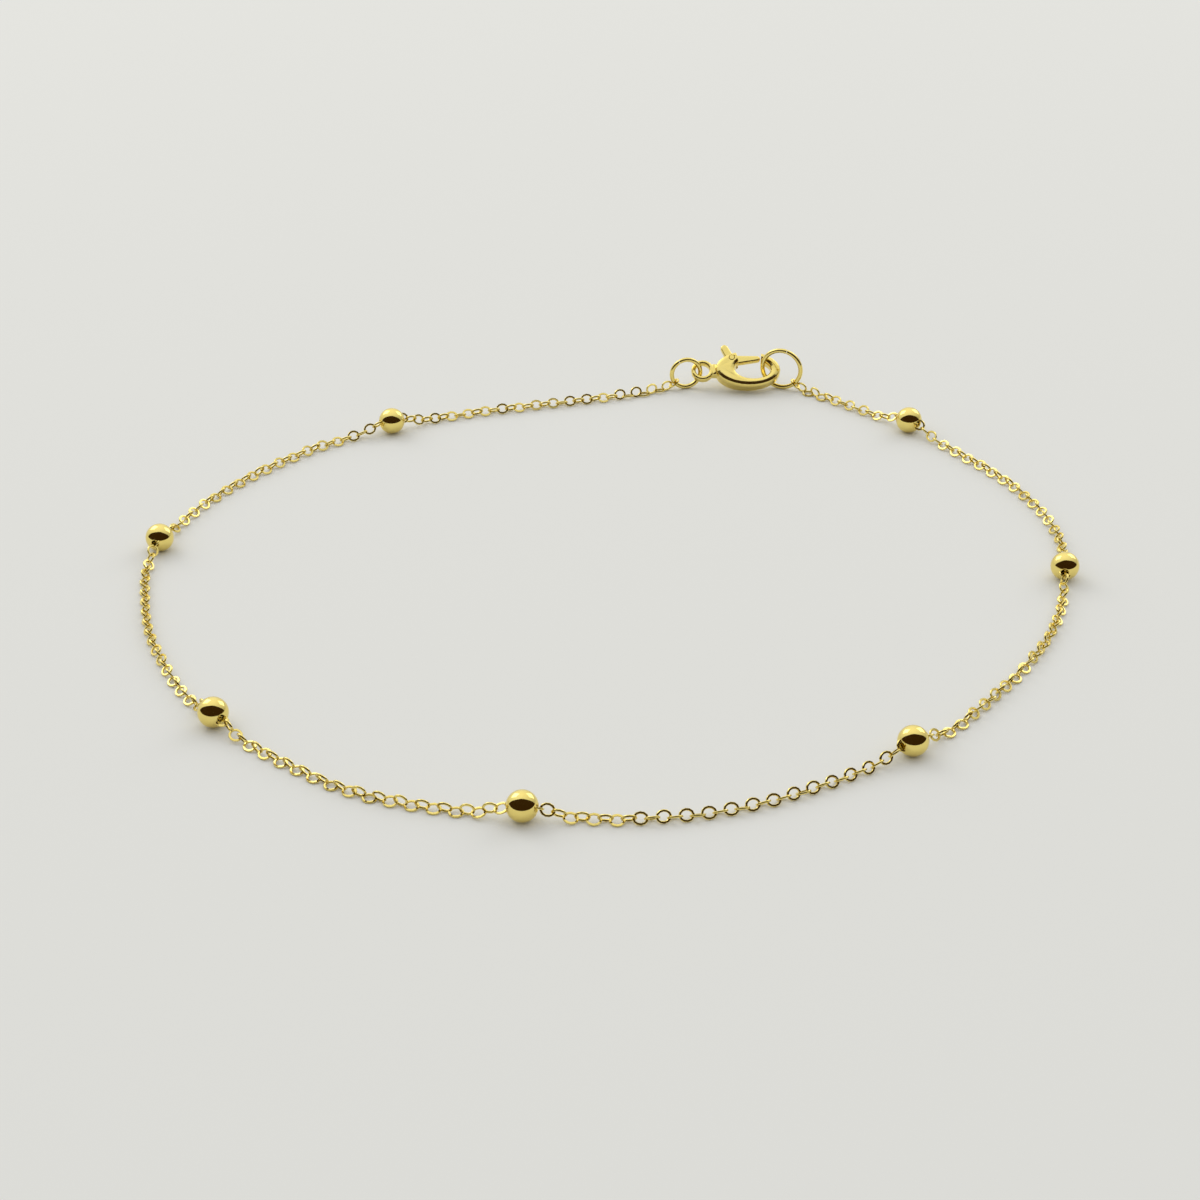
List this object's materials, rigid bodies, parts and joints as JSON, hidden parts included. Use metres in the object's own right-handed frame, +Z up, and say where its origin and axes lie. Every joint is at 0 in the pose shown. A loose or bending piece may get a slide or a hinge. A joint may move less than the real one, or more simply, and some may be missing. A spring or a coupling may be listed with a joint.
{
  "type": "beaded anklet",
  "caption": "Fine cable chain anklet with hollow round beads spaced along it, closed by a lobster clasp between jump rings.",
  "frame": {"origin": "middle of the laid loop's box, on the surface that the anklet lies on", "axes": "+Z up from the surface, +Y towards the clasp, +X to the right seen from the side facing the clasp"},
  "size_m": [0.0822, 0.0796, 0.0044],
  "materials": {
    "chain_gold": "polished gold links",
    "bead_gold": "mirror-polished gold",
    "clasp_gold": "polished gold casting"
  },
  "bodies": {
    "anklet": {"chain": "chain_gold", "bead_1": "bead_gold", "bead_2": "bead_gold", "bead_3": "bead_gold", "bead_4": "bead_gold", "bead_5": "bead_gold", "bead_6": "bead_gold", "bead_7": "bead_gold", "jump_ring_small": "chain_gold", "jump_ring_large": "chain_gold", "clasp_body": "clasp_gold", "clasp_pin": "clasp_gold"},
    "lever": {"clasp_lever": "clasp_gold"}
  },
  "joints": [
    {"name": "lever_hinge", "type": "hinge", "parent": "anklet", "child": "lever", "pos_m": [0.01265, 0.03824, 0.00245], "axis": [0, 0.6018, -0.7986], "range_deg": [0, 20], "stiffness_Nm_per_rad": 0.0001, "springref_deg": -17.19}
  ]
}
